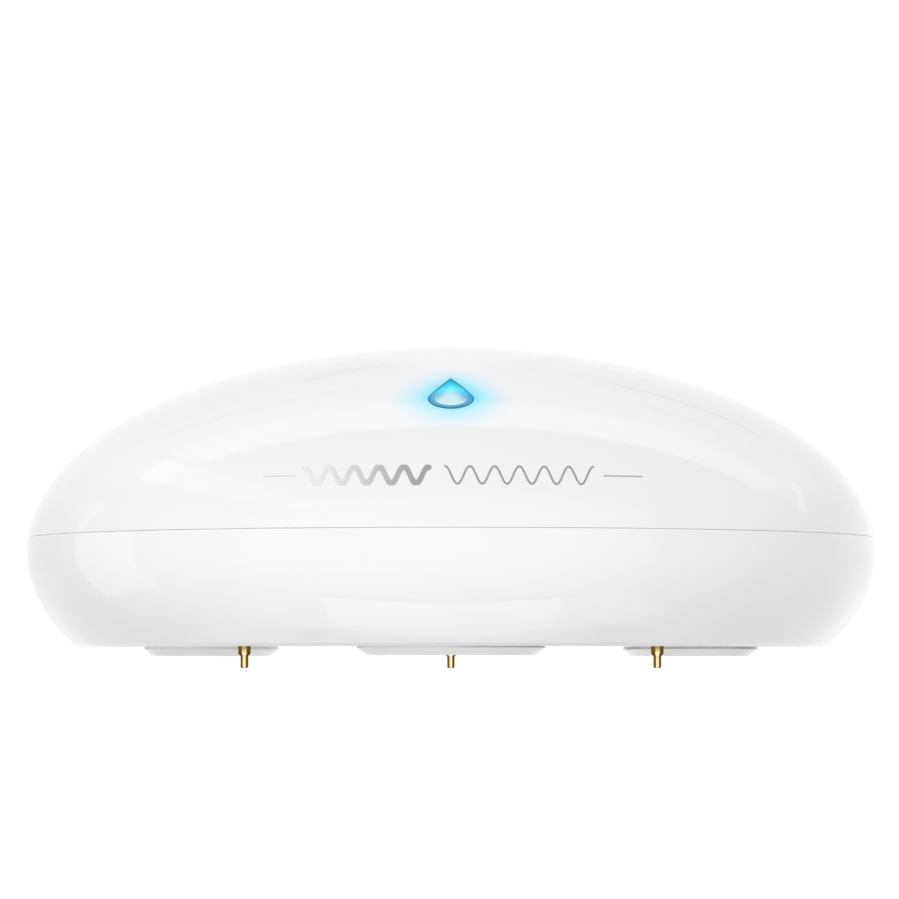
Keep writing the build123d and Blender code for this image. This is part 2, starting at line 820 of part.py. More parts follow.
def passive_components():
    """Small chip resistors and capacitors across the board, two of them beside the status light."""
    aside = led_size[0] / 2 + passive_led_gap + passive_size[0] / 2
    places = [on_board(share) for share in passive_place_shares]
    places += [(side * aside, led_place()[1]) for side in (-1, 1)]
    return [block(passive_size, place, board_top_z) for place in places]


def at_probe(solid, angle):
    """A probe piece moved from the axis to its place on the underside."""
    return around(probe_circle_r, angle) * solid


def all_nodes():
    """Every sub-part under its node's name."""
    nodes = {
        "top_cover": top_cover(),
        "lower_housing": lower_housing(),
        "cover_seal": cover_seal(),
        "indicator_lens": indicator_lens(),
        "light_guide": light_guide(),
        "main_board": main_board(),
        "board_screws": Compound(children=board_screws()),
        "battery_cell": battery_cell(),
        "battery_cap": battery_cap(),
        "battery_sleeve": battery_sleeve(),
        "battery_holder": battery_holder(),
        "battery_contact_positive": battery_contact_positive(),
        "battery_contact_negative": battery_contact_negative(),
        "status_led": status_led(),
        "microcontroller": chip(mcu_size, mcu_place_share),
        "crystal": chip(crystal_size, crystal_place_share),
        "radio_module": radio_module(),
        "antenna": antenna(),
        "temperature_sensor": chip(temperature_size, temperature_place_share),
        "tilt_sensor": chip(tilt_size, tilt_place_share),
        "passive_components": Compound(children=passive_components()),
        "tamper_button_base": button_base(),
        "tamper_button_cap": button_cap(),
        "buzzer_case": buzzer_case(),
        "buzzer_disc": buzzer_disc(),
        "terminal_block": terminal_block(),
        "terminal_screws": Compound(children=terminal_screws()),
    }
    for place, angle in foot_angles.items():
        nodes["foot_pad_" + place] = foot_pad(angle)
    for place, angle in probe_angles.items():
        nodes["probe_barrel_" + place] = at_probe(probe_barrel(), angle)
        nodes["probe_plunger_" + place] = at_probe(probe_plunger(), angle)
        nodes["probe_spring_" + place] = at_probe(probe_spring(), angle)
    return nodes


os.makedirs("parts", exist_ok=True)
for name, shape in all_nodes().items():
    export_step(shape, "parts/" + name + ".step")
print("least gap between turns of a probe spring, mm:", round(least_spring_gap(), 3))
print("bottom of the light guide, mm:", round(led_top_z() + guide_over_led, 3))
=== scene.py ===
import json
import math
from collections import namedtuple

import bmesh
import bpy
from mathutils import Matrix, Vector


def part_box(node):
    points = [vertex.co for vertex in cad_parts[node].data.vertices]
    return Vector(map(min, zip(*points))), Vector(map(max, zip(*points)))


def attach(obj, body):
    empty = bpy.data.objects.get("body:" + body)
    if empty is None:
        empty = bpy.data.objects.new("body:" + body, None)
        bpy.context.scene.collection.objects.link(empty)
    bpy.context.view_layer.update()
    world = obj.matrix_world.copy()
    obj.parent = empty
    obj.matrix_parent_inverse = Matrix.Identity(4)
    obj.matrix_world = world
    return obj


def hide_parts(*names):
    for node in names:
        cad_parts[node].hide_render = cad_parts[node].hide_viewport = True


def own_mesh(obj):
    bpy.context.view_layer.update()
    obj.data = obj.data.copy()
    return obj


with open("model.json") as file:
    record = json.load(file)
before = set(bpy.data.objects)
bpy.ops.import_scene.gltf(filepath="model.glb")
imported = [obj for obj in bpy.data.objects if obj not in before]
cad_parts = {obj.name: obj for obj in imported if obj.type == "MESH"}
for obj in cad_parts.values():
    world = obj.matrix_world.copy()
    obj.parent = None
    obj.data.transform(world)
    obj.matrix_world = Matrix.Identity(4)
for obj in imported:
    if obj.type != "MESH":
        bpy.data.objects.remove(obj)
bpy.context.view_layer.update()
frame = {"nodes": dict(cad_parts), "record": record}

MM = 0.001
nodes_by_name = frame["nodes"]

# Limits of a value, with the softness of both ends
Band = namedtuple("Band", "low high soft")

# Curve between a screen's colour values and linear light
srgb_levels = 255
srgb_knee = 0.04045
srgb_slope = 12.92
srgb_offset = 0.055
srgb_power = 2.4


def srgb(red, green, blue):
    """Linear colour from a colour as it looks on screen, 0 to 255."""
    def linear(value):
        share = value / srgb_levels
        if share <= srgb_knee:
            return share / srgb_slope
        return ((share + srgb_offset) / (1 + srgb_offset)) ** srgb_power
    return (linear(red), linear(green), linear(blue), 1.0)


black = (0.0, 0.0, 0.0, 1.0)
full_white = (1.0, 1.0, 1.0, 1.0)

# Form of the pebble, read from the frame
equator_z = 9.9 * MM
body_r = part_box("lower_housing")[1].x
body_half_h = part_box("top_cover")[1].z - equator_z

# Glossy white of both shells
shell_whites = srgb(233, 233, 234), srgb(236, 236, 237)
shell_white_per_m = 60
shell_gloss_per_m = 90
shell_roughness = (0.012, 0.03)
shell_grain_per_m = 1200
shell_grain_depth = 0.0002 * MM
plastic_ior = 1.5

# Seam between the shells, and the light that shines through the plastic's thin edges there
seam_rise = 1.1 * MM
seam_half_h = 0.11 * MM
seam_edge_w = 0.7 * MM
seam_soft = 0.02 * MM
seam_light_level = 0.06
seam_z = equator_z + seam_rise
seam_band = Band(seam_z - seam_half_h, seam_z + seam_half_h, seam_soft)

# Satin feet, with a line of painted shade under the shell that is darker on the right
foot_whites = srgb(232, 231, 232), srgb(239, 238, 239)
foot_cloud_per_m = 125
foot_roughness = (0.12, 0.2)
foot_grain_per_m = 2500
foot_grain_depth = 0.002 * MM
underside_z = 1.75 * MM
foot_line_h = 0.11 * MM
foot_line_soft = 0.02 * MM
foot_shade_span = (-1.0 * MM, 3.0 * MM)
foot_shade_shares = (0.2, 0.6)
foot_shade_grey = srgb(110, 110, 112)

# Drop-shaped window and its lens
window_inset = 9.4 * MM
window_r = body_r - window_inset
drop_round_r = 1.86 * MM
drop_tip = 4.56 * MM
lens_gap = 0.03 * MM
lens_depth = 2.6 * MM
lens_flange_grow = 0.9 * MM
lens_flange_t = 0.8 * MM
lens_crown = 0.14 * MM
lens_edge_dip = 0.07 * MM

# Colours up the lit lens, by share of its height, in its middle and at its sides
lens_middle_colours = (
    (0.0, srgb(212, 238, 250)),
    (0.3, srgb(206, 240, 247)),
    (0.6, srgb(138, 255, 255)),
    (0.76, srgb(76, 238, 252)),
    (0.9, srgb(34, 192, 240)),
    (1.0, srgb(20, 128, 164)),
)
lens_side_colours = (
    (0.0, srgb(96, 162, 194)),
    (0.12, srgb(98, 176, 212)),
    (0.33, srgb(66, 164, 218)),
    (0.55, srgb(80, 224, 250)),
    (0.85, srgb(34, 186, 228)),
    (1.0, srgb(20, 116, 148)),
)

# Pool of light in the lens, pale in its lower part as a painted highlight: crisp and close to the
# outline below, soft above, weaker on the right
light_pool_turn_up = (-1.1 * MM, 0.4 * MM)
light_pool_low_inside = (0.46 * MM, 0.56 * MM)
light_pool_high_inside = (0.0, 1.8 * MM)
light_pool_right_across = (0.2 * MM, 1.7 * MM)
light_pool_right_share = 0.5

# Painted highlight: a bright crescent round the lower part of the pool
crescent_highlight_inside = Band(0.56 * MM, 0.7 * MM, 0.06 * MM)
crescent_highlight_up = (-0.9 * MM, 0.1 * MM)
crescent_highlight_colour = srgb(222, 252, 255)

# Dark rim of the lens: its width from the middle to the top, and what is added at the bottom
rim_low_w = 0.09 * MM
rim_low_end = -0.5 * MM
rim_high_w = (0.11 * MM, 0.17 * MM)
rim_high_up = (0.0, 1.5 * MM)
rim_edge = (-0.05 * MM, 0.08 * MM)
rim_share = 0.85
rim_colour = srgb(34, 112, 146)

# Plastic of the lens
lens_dark_share = 0.98
lens_light_level = 0.97
lens_roughness = 0.05
lens_wave_per_m = 900
lens_wave_depth = 0.001 * MM

# Light that the window throws on the cover round it
glow_reach = 3.4 * MM
glow_power = 1.5
glow_share = 0.79
glow_tip_up = (2.4 * MM, 5.2 * MM)
glow_tip_share = 0.62
glow_low_up = (-drop_round_r, 1.2 * MM)
glow_low_share = 0.78
glow_across = (-3.0 * MM, 3.0 * MM)
glow_across_shares = (0.94, 1.12)
glow_close_span = (0.1 * MM, 0.8 * MM)
glow_tint = (0.0, 0.5, 0.6, 1.0)
glow_far_light = (0.0, 0.25, 0.42, 1.0)
glow_close_light = (0.0, 0.19, 0.24, 1.0)

# Printed band: two plain dashes with a row of ripples between them
band_z = 15.15 * MM
dash_h = 0.1 * MM
dash_spans = ((-14.85 * MM, -12.25 * MM), (12.05 * MM, 15.2 * MM))
dash_inks = (srgb(206, 206, 208), srgb(150, 151, 153))
ripple_spans = ((-11.5 * MM, -1.75 * MM), (-0.46 * MM, 11.24 * MM))
ripple_length = 1.95 * MM
ripple_rises = (0.6 * MM, 0.7 * MM)
ripple_strokes = (0.46 * MM, 0.17 * MM)
# Silver ink with a painted sheen: light on the left, darker towards the right
silver_sheen_inks = (srgb(226, 226, 227), srgb(156, 156, 158))
grey_ink = srgb(150, 151, 153)
print_soft = 0.02 * MM

# Gold: turning marks, painted highlight stripes with painted dark reflections beside them, and
# painted shade under the shell
gold_highlight_tones = srgb(240, 210, 142), srgb(252, 232, 184)
gold_dark_reflection_tones = srgb(94, 72, 18), srgb(128, 100, 34)
gold_edge_tint = (0.4, 0.28, 0.12, 1.0)
gold_tone_per_m = 2500
gold_roughness = (0.1, 0.18)
gold_ring_pitch = 0.07 * MM
gold_ring_depth = 0.0006 * MM
gold_highlight_span = (0.25, 0.85)
gold_shade_z = (1.2 * MM, 1.75 * MM)
gold_shade_share = 0.75
least_flat_normal = 0.05

# Main board: copper tracks that wander, and filled areas, under the solder mask
board_greens = srgb(14, 74, 44), srgb(30, 112, 64)
track_pitch = 1.1 * MM
track_edge = (0.09 * MM, 0.13 * MM)
track_share = 0.8
track_bends_per_m = (260, 210)
track_bend_reach = (3.2 * MM, 2.6 * MM)
fill_per_m = 120
fill_span = (0.5, 0.53)
board_gloss_per_m = 3000
board_roughness = (0.22, 0.34)
copper_depth = 0.02 * MM

# Shrink sleeve of the battery
sleeve_blues = srgb(36, 66, 116), srgb(46, 80, 134)
sleeve_silver = srgb(200, 204, 210)
sleeve_band_x = Band(-15.0 * MM, -11.5 * MM, 0.05 * MM)
sleeve_blue_per_m = 300
sleeve_gloss_per_m = 500
sleeve_roughness = (0.18, 0.3)
sleeve_wave_per_m = 700
sleeve_wave_depth = 0.01 * MM

# Grain of the other plastics and metals
moulded_grain_depth = 0.004 * MM
grains_per_cloud = 20
metal_grain_per_m = 2500
metal_grain_depth = 0.002 * MM
fine_along_z = (1, 1, 12)
fine_along_x = (12, 1, 1)
clear_cloud_per_m = 400
clear_roughness = (0.04, 0.1)
clear_ior = 1.49

# Most of a noise's values lie between these
noise_span = (0.3, 0.7)

# Wound springs of the probes
spring_mean_r = 0.54 * MM
spring_wire_r = 0.1 * MM
spring_turns = 4

# Edges sharper than this stay crisp
sharp_angle = math.radians(35)

# The photograph's view, in its frame of 899 by 899 pixels
image_px = 899
axis_px = 450.4
horizon_px = 667.5
focal_px = 5172.0
camera_distance = 440.0 * MM
sensor_w_mm = 36.0
clip_span_m = (0.01, 20.0)

# Floor, which no reflection shows
floor_r_m = 6.0
floor_segments = 96
floor_drop = 0.02 * MM
floor_tones = (0.85, 0.85, 0.855, 1.0), (0.87, 0.87, 0.875, 1.0)
floor_tone_per_m = 30
floor_roughness = 0.9
floor_light_level = 0.16

# Brightness of the room in reflections, and of the plain white that the camera sees
room_level = 0.95
seen_level = 1.05

# The lights stand on walls at unit distance, so a place on a wall is a slope of the direction.
# A gain is what a light adds to the brightness of the room, or what a shade takes away. A wall
# is met only by directions that lead to it, and comes in softly over its horizon.
wall_least_depth = 0.001
wall_horizon = (0.0, 0.08)

# Curved bar over and behind the object, with a longer and wider fade
bar_gain = 0.42
bar_back = 0.33
bar_bow = 0.09
bar_edge_soft = 0.008
bar_across = Band(-0.74, 1.35, 0.08)
bar_fall = (0.25, 0.45)
fade_gain = 0.27
fade_across = Band(-1.3, 1.6, 0.3)
fade_fall = (0.3, 1.6)

# Strip overhead that runs forwards on the left
strip_gain = 0.6
strip_across = Band(-1.14, -0.8, 0.008)
strip_back = Band(-1.1, 0.72, 0.01)

# Thin dark gaps overhead: a bowed one on the left, two straight ones on the right, a slanted tick
gap_gain = -0.25
left_gap_shift = 0.33
left_gap_back = 1.07
left_gap_bow = 1.4
left_gap_off = Band(-0.028, 0.028, 0.012)
left_gap_across = Band(-0.7, -0.12, 0.03)
near_gap_back = Band(1.07, 1.13, 0.012)
near_gap_across = Band(0.32, 0.62, 0.03)
far_gap_back = Band(1.57, 1.65, 0.015)
far_gap_across = Band(0.25, 0.75, 0.03)
tick_gain = -0.18
tick_back = 2.24
tick_slope = 2.67
tick_off = Band(-0.06, 0.06, 0.02)
tick_across = Band(-0.24, -0.09, 0.01)

# Window-like pane on the left, with a thin bar over it
pane_gain = 0.6
pane_back = Band(0.08, 0.6, 0.01)
pane_up = Band(-0.58, 0.21, 0.02)
pane_bar_gain = 0.4
pane_bar_back = Band(0.54, 0.63, 0.01)
pane_bar_up = Band(0.21, 0.52, 0.03)

# Thin slanted light on the right
streak_gain = 0.5
streak_slope = 0.88
streak_off = Band(-0.06, 0.04, 0.012)
streak_back = Band(0.5, 0.88, 0.02)

# Large soft panel round the camera
front_gain = 0.41
front_left = (-2.3, -1.2)
front_right = (1.35, 1.65)
front_low = (-1.68, -1.58)
front_high = (0.9, 1.7)

# Bright sheet on the ground in front, which widens forwards, and the lit ground beside it
sheet_gain = 0.85
sheet_shift = 0.035
sheet_spread = 0.42
sheet_half_w = 0.3
sheet_edge_soft = 0.008
sheet_ahead = Band(0.05, 0.55, 0.006)
sheet_dim_ahead = (0.1, 0.3)
sheet_dim_share = 0.75
side_gain = 0.5
side_away = (0.75, 0.95)
side_ahead = Band(0.0, 0.56, 0.06)

# Dark line along the front of the sheet
edge_gain = -0.3
edge_ahead = Band(0.56, 0.62, 0.012)
edge_away = (0.3, 0.8)

# Dark slots and pale openings on both sides of the ground under the object, and its shade
slot_shift = 0.03
slot_gain = -0.3
slot_off = Band(0.37, 0.44, 0.01)
slot_ahead = Band(-0.4, 0.03, 0.02)
opening_gain = 0.2
opening_off = Band(0.5, 0.78, 0.01)
opening_ahead = Band(-0.6, 0.05, 0.02)
under_gain = -0.15
under_ahead = Band(-0.6, 0.03, 0.02)

# Broad changes of brightness round the room, by the parts of the direction
sky_gain = -0.18
sky_up = (0.0, 1.0)
ground_gain = -0.53
ground_down = (0.0, 1.0)
right_gain = -0.25
right_x = (0.3, 0.8)
right_y = (0.3, 0.85)
right_z = (0.0, 0.5)
left_gain = -0.41
left_x = (-0.9, -0.2)
left_y = (0.0, 0.5)
left_z = (0.0, 0.4)
behind_gain = 0.08
behind_y = (0.72, 1.0)
behind_z = (-0.1, 0.1)
top_gain = 0.1
top_x = Band(-0.03, 0.03, 0.02)
top_y = (0.0, 0.5)
top_z = Band(0.36, 0.6, 0.06)
behind_low_gain = 0.18
behind_low_y = (0.55, 0.95)
behind_low_down = (0.0, 0.2)
behind_right_gain = 0.17
behind_right_x = (0.1, 0.35)
behind_right_y = (0.45, 0.75)
behind_right_z = (0.05, 0.3)

# Sockets of a mix node, by its kind of data: share, first and second, and the result
mix_sockets = {"FLOAT": ((0, 2, 3), 0), "RGBA": ((0, 6, 7), 2)}


def height_on_pebble(x, y):
    """Height of the pebble's upper surface over a place."""
    return equator_z + body_half_h * math.sqrt(1 - (x * x + y * y) / body_r**2)


def window_frame():
    """Round centre of the window and its way right, way up the slope and way out."""
    centre = Vector((0, -window_r, height_on_pebble(0, window_r)))
    lean = math.atan2(window_r / body_r**2, (centre.z - equator_z) / body_half_h**2)
    right = Vector((1, 0, 0))
    outward = Vector((0, -math.sin(lean), math.cos(lean)))
    return centre, right, outward.cross(right), outward


window_centre, window_right, window_up, window_out = window_frame()


class Nodes:
    """The node tree of a material or the world, with short ways to add nodes to it."""

    def __init__(self, owner):
        owner.use_nodes = True
        self.owner = owner
        self.tree = owner.node_tree
        self.shader = self.find("BSDF_PRINCIPLED")

    def find(self, kind):
        """The first node of a kind, or None."""
        return next((node for node in self.tree.nodes if node.type == kind), None)

    def add(self, kind, **settings):
        """A node with its own settings."""
        node = self.tree.nodes.new(kind)
        for key, value in settings.items():
            setattr(node, key, value)
        return node

    def put(self, socket, value):
        """Links an output to an input, or sets the input's number or colour."""
        if isinstance(value, bpy.types.NodeSocket):
            self.tree.links.new(value, socket)
        else:
            socket.default_value = value

    def calc(self, operation, *values):
        """Result of a maths node."""
        node = self.add("ShaderNodeMath", operation=operation)
        for socket, value in zip(node.inputs, values):
            self.put(socket, value)
        return node.outputs[0]

    def plus(self, first, second):
        """Sum of two numbers."""
        return self.calc("ADD", first, second)

    def minus(self, first, second):
        """Difference of two numbers."""
        return self.calc("SUBTRACT", first, second)

    def times(self, *values):
        """Product of numbers."""
        product = values[0]
        for value in values[1:]:
            product = self.calc("MULTIPLY", product, value)
        return product

    def against(self, value):
        """The number with its sign turned."""
        return self.times(value, -1.0)

    def length(self, x, y):
        """Length of a flat vector."""
        return self.calc("SQRT", self.plus(self.times(x, x), self.times(y, y)))

    def vector(self, operation, *values):
        """Result of a vector maths node."""
        node = self.add("ShaderNodeVectorMath", operation=operation)
        for socket, value in zip(node.inputs, values):
            self.put(socket, value)
        return node.outputs["Value" if operation == "DOT_PRODUCT" else "Vector"]

    def place(self):
        """Place on the object, in metres."""
        return self.add("ShaderNodeTexCoord").outputs["Object"]

    def parts(self, vector):
        """The three numbers of a vector."""
        node = self.add("ShaderNodeSeparateXYZ")
        self.put(node.inputs[0], vector)
        return tuple(node.outputs)

    def noise(self, per_m, detail, where=None):
        """Noise from 0 to 1, with per_m features to the metre."""
        node = self.add("ShaderNodeTexNoise")
        self.put(node.inputs["Vector"], where or self.place())
        self.put(node.inputs["Scale"], per_m)
        self.put(node.inputs["Detail"], detail)
        return node.outputs["Fac"]

    def step(self, value, low, high, start=0.0, end=1.0, smooth=True):
        """Goes from start to end while the value goes from low to high."""
        node = self.add("ShaderNodeMapRange", clamp=True)
        node.interpolation_type = "SMOOTHSTEP" if smooth else "LINEAR"
        for name, number in (("Value", value), ("From Min", low), ("From Max", high),
                             ("To Min", start), ("To Max", end)):
            self.put(node.inputs[name], number)
        return node.outputs["Result"]

    def rise(self, value, span):
        """0 below a span of the value, 1 above it."""
        return self.step(value, *span)

    def fall(self, value, span):
        """1 below a span of the value, 0 above it."""
        return self.step(value, *span, 1.0, 0.0)

    def within(self, value, band):
        """1 between a band's limits and 0 outside them, with soft ends."""
        rise = self.rise(value, (band.low - band.soft, band.low + band.soft))
        fall = self.fall(value, (band.high - band.soft, band.high + band.soft))
        return self.times(rise, fall)

    def blend(self, kind, *values):
        """Result of a mix node of a kind of data, from a share, a first and a second value."""
        node = self.add("ShaderNodeMix", data_type=kind)
        inputs, result = mix_sockets[kind]
        for place, value in zip(inputs, values):
            self.put(node.inputs[place], value)
        return node.outputs[result]

    def mix(self, share, first, second):
        """Blend of two colours."""
        return self.blend("RGBA", share, first, second)

    def mix_numbers(self, share, first, second):
        """Blend of two numbers."""
        return self.blend("FLOAT", share, first, second)

    def ramp(self, value, stops):
        """Colour along a row of (place, colour) stops."""
        node = self.add("ShaderNodeValToRGB")
        elements = node.color_ramp.elements
        while len(elements) < len(stops):
            elements.new(stops[-1][0])
        for element, (where, colour) in zip(elements, stops):
            element.position = where
            element.color = colour
        self.put(node.inputs[0], value)
        return node.outputs[0]

    def set(self, **values):
        """Sets the shader's sockets by name, with _ for a space."""
        for name, value in values.items():
            self.put(self.shader.inputs[name.replace("_", " ")], value)

    def roughness(self, noise, span):
        """Sets a roughness that goes through a span with a noise."""
        self.set(Roughness=self.step(noise, *noise_span, *span))

    def bump(self, height, depth):
        """Sends a height from 0 to 1, of a depth in metres, to the shader's normal."""
        node = self.add("ShaderNodeBump")
        self.put(node.inputs["Height"], height)
        self.put(node.inputs["Distance"], depth)
        self.put(self.shader.inputs["Normal"], node.outputs[0])


def new_paint(name):
    """The nodes of a new material."""
    return Nodes(bpy.data.materials.new(name))


def window_place(paint):
    """Place on the window's plane: right, and up the slope from the round centre."""
    offset = paint.vector("SUBTRACT", paint.place(), tuple(window_centre))
    return (paint.vector("DOT_PRODUCT", offset, tuple(window_right)),
            paint.vector("DOT_PRODUCT", offset, tuple(window_up)))


def drop_distance(paint, across, up):
    """Distance from the drop's outline, negative inside it."""
    lean = drop_round_r / drop_tip
    side = math.sqrt(1 - lean * lean)
    x = paint.calc("ABSOLUTE", across)
    along = paint.minus(paint.times(up, side), paint.times(x, lean))
    out = paint.plus(paint.times(x, side), paint.times(up, lean))
    from_round = paint.minus(paint.length(x, up), drop_round_r)
    from_side = paint.minus(out, drop_round_r)
    from_tip = paint.length(x, paint.minus(up, drop_tip))
    past_round = paint.calc("GREATER_THAN", along, 0.0)
    past_side = paint.calc("GREATER_THAN", along, side * drop_tip)
    below_tip = paint.mix_numbers(past_round, from_round, from_side)
    return paint.mix_numbers(past_side, below_tip, from_tip)


def stroke_line(paint, distance, width):
    """1 inside a line of a width, from the distance to its middle."""
    return paint.fall(distance, (width / 2 - print_soft, width / 2 + print_soft))


def ripple_mask(paint, x, z, span, rise, stroke):
    """A wavy stroke with round ends over a span of X, which starts on a crest."""
    turn = math.tau / ripple_length
    inner = paint.calc("MINIMUM", paint.calc("MAXIMUM", x, span[0]), span[1])
    angle = paint.times(paint.minus(inner, span[0]), turn)
    slope = paint.times(paint.calc("SINE", angle), rise * turn)
    stretch = paint.calc("SQRT", paint.plus(paint.times(slope, slope), 1.0))
    wave = paint.times(paint.calc("COSINE", angle), rise)
    off_wave = paint.calc("DIVIDE", paint.minus(paint.minus(z, band_z), wave), stretch)
    return stroke_line(paint, paint.length(paint.minus(x, inner), off_wave), stroke)


def dash_mask(paint, x, z, span):
    """A plain dash over a span of X."""
    line = stroke_line(paint, paint.calc("ABSOLUTE", paint.minus(z, band_z)), dash_h)
    return paint.times(line, paint.within(x, Band(*span, print_soft)))


def printed_band(paint, white, x, z, front):
    """White with the band over it: silver ripples on the left with a painted sheen that darkens to
    the right, grey ones on the right, dashes.
    """
    # Painted sheen on the silver ink, darker towards the right
    silver = paint.mix(paint.rise(x, ripple_spans[0]), *silver_sheen_inks)
    marks = [(ripple_mask(paint, x, z, *row), ink)
             for row, ink in zip(zip(ripple_spans, ripple_rises, ripple_strokes),
                                 (silver, grey_ink))]
    marks += [(dash_mask(paint, x, z, span), ink) for span, ink in zip(dash_spans, dash_inks)]
    for mark, ink in marks:
        white = paint.mix(paint.times(mark, front), white, ink)
    return white


def window_glow(paint, front):
    """Share of the window's light on the cover, and how close to the window's outline it is."""
    across, up = window_place(paint)
    distance = drop_distance(paint, across, up)
    near = paint.calc("POWER", paint.step(distance, 0.0, glow_reach, 1.0, 0.0, smooth=False),
                      glow_power)
    evenness = paint.times(paint.step(up, *glow_tip_up, 1.0, glow_tip_share),
                           paint.step(up, *glow_low_up, glow_low_share, 1.0),
                           paint.step(across, *glow_across, *glow_across_shares))
    close = paint.fall(distance, glow_close_span)
    return paint.times(near, evenness, glow_share, front), paint.times(close, front)


def seam_light(paint, x, y, z):
    """1 on the shells' outer edges at the seam."""
    inner_r = body_r - seam_edge_w
    outer = paint.rise(paint.length(x, y), (inner_r - seam_soft, inner_r))
    return paint.times(outer, paint.within(z, seam_band))


def white_plastic(name, with_window):
    """Glossy white plastic. The cover has the light round its window and the printed band."""
    paint = new_paint(name)
    white = paint.mix(paint.noise(shell_white_per_m, detail=3), *shell_whites)
    x, y, z = paint.parts(paint.place())
    light = black
    if with_window:
        front = paint.calc("LESS_THAN", y, 0.0)
        share, close = window_glow(paint, front)
        white = paint.mix(share, printed_band(paint, white, x, z, front), glow_tint)
        light = paint.mix(share, light, paint.mix(close, glow_far_light, glow_close_light))
    seam_white = (seam_light_level, seam_light_level, seam_light_level, 1.0)
    light = paint.mix(seam_light(paint, x, y, z), light, seam_white)
    paint.set(Base_Color=white, Emission_Color=light, Emission_Strength=1.0, IOR=plastic_ior)
    paint.roughness(paint.noise(shell_gloss_per_m, detail=4), shell_roughness)
    paint.bump(paint.noise(shell_grain_per_m, detail=2), shell_grain_depth)
    return paint.owner


def lens_light():
    """The lit lens: dark rim, deep blue tip, cyan upper part and a pool of light, pale low down as
    a painted highlight, with a painted bright crescent round its lower edge.
    """
    paint = new_paint("lens_light")
    across, up = window_place(paint)
    inside = paint.against(drop_distance(paint, across, up))
    height = paint.step(up, -drop_round_r, drop_tip, smooth=False)
    # Pool of light, whose pale lower part is a painted highlight
    upper = paint.rise(up, light_pool_turn_up)
    light_pool_from, light_pool_to = (paint.mix_numbers(upper, low, high)
                          for low, high in zip(light_pool_low_inside, light_pool_high_inside))
    light_pool = paint.times(paint.step(inside, light_pool_from, light_pool_to),
                       paint.step(across, *light_pool_right_across, 1.0, light_pool_right_share))
    colour = paint.mix(light_pool, paint.ramp(height, lens_side_colours),
                       paint.ramp(height, lens_middle_colours))
    # Painted highlight: bright crescent round the lower edge of the pool
    crescent_highlight = paint.times(paint.within(inside, crescent_highlight_inside), paint.fall(up, crescent_highlight_up))
    colour = paint.mix(crescent_highlight, colour, crescent_highlight_colour)
    rim_w = paint.plus(paint.step(up, -drop_round_r, rim_low_end, rim_low_w, 0.0),
                       paint.step(up, *rim_high_up, *rim_high_w))
    rim = paint.fall(paint.minus(inside, rim_w), rim_edge)
    colour = paint.mix(paint.times(rim, rim_share), colour, rim_colour)
    paint.set(Base_Color=paint.mix(lens_dark_share, colour, black), Roughness=lens_roughness,
              IOR=plastic_ior, Specular_IOR_Level=0.0,
              Emission_Color=colour, Emission_Strength=lens_light_level)
    paint.bump(paint.noise(lens_wave_per_m, detail=2), lens_wave_depth)
    return paint.owner


def gold_plate():
    """Gold plating with faint turning rings. Painted bright stripes and dark flanks stand in for a
    dark room's reflections, and painted shade falls under the shell.
    """
    paint = new_paint("gold_plate")
    z = paint.parts(paint.place())[2]
    rings = paint.calc("SINE", paint.times(z, math.tau / gold_ring_pitch))
    tone = paint.noise(gold_tone_per_m, detail=3)
    side, ahead = paint.parts(paint.add("ShaderNodeNewGeometry").outputs["Normal"])[:2]
    side = paint.times(side, side)
    ahead = paint.times(ahead, ahead)
    flatness = paint.calc("MAXIMUM", paint.plus(side, ahead), least_flat_normal)
    facing = paint.calc("DIVIDE", paint.minus(side, ahead), flatness)
    # Painted highlight stripes where the normal faces a main way, painted dark reflections between
    # them
    painted_highlight = paint.rise(paint.times(facing, facing), gold_highlight_span)
    # Painted shade towards the top, under the shell
    shaded = paint.step(z, *gold_shade_z, 0.0, gold_shade_share)
    colour = paint.mix(paint.times(painted_highlight, paint.minus(1.0, shaded)),
                       paint.mix(tone, *gold_dark_reflection_tones), paint.mix(tone, *gold_highlight_tones))
    paint.set(Base_Color=colour, Metallic=1.0, Specular_Tint=gold_edge_tint)
    paint.roughness(tone, gold_roughness)
    paint.bump(rings, gold_ring_depth)
    return paint.owner


def foot_plastic():
    """Satin white plastic with a line of painted shade along the top, darker on the right."""
    paint = new_paint("foot_plastic")
    x, _, z = paint.parts(paint.place())
    cloud = paint.noise(foot_cloud_per_m, detail=3)
    line_z = underside_z - foot_line_h
    line = paint.rise(z, (line_z - foot_line_soft, line_z + foot_line_soft))
    # Painted shade under the shell along the top, darker towards the right
    dark = paint.times(line, paint.step(x, *foot_shade_span, *foot_shade_shares))
    paint.set(Base_Color=paint.mix(dark, paint.mix(cloud, *foot_whites), foot_shade_grey))
    paint.roughness(cloud, foot_roughness)
    paint.bump(paint.noise(foot_grain_per_m, detail=4), foot_grain_depth)
    return paint.owner


def moulded(name, dark, light, roughness, grain_per_m=4000):
    """Moulded plastic or rubber with a fine grain, from two colours on screen."""
    paint = new_paint(name)
    cloud = paint.noise(grain_per_m / grains_per_cloud, detail=3)
    paint.set(Base_Color=paint.mix(cloud, srgb(*dark), srgb(*light)))
    paint.roughness(cloud, roughness)
    paint.bump(paint.noise(grain_per_m, detail=4), moulded_grain_depth)
    return paint.owner


def metal(name, dark, light, roughness, stretch=fine_along_z):
    """Metal with a brushed or rolled grain, from two colours on screen."""
    paint = new_paint(name)
    where = paint.vector("MULTIPLY", paint.place(), stretch)
    grain = paint.noise(metal_grain_per_m, detail=3, where=where)
    paint.set(Base_Color=paint.mix(grain, srgb(*dark), srgb(*light)), Metallic=1.0)
    paint.roughness(grain, roughness)
    paint.bump(grain, metal_grain_depth)
    return paint.owner


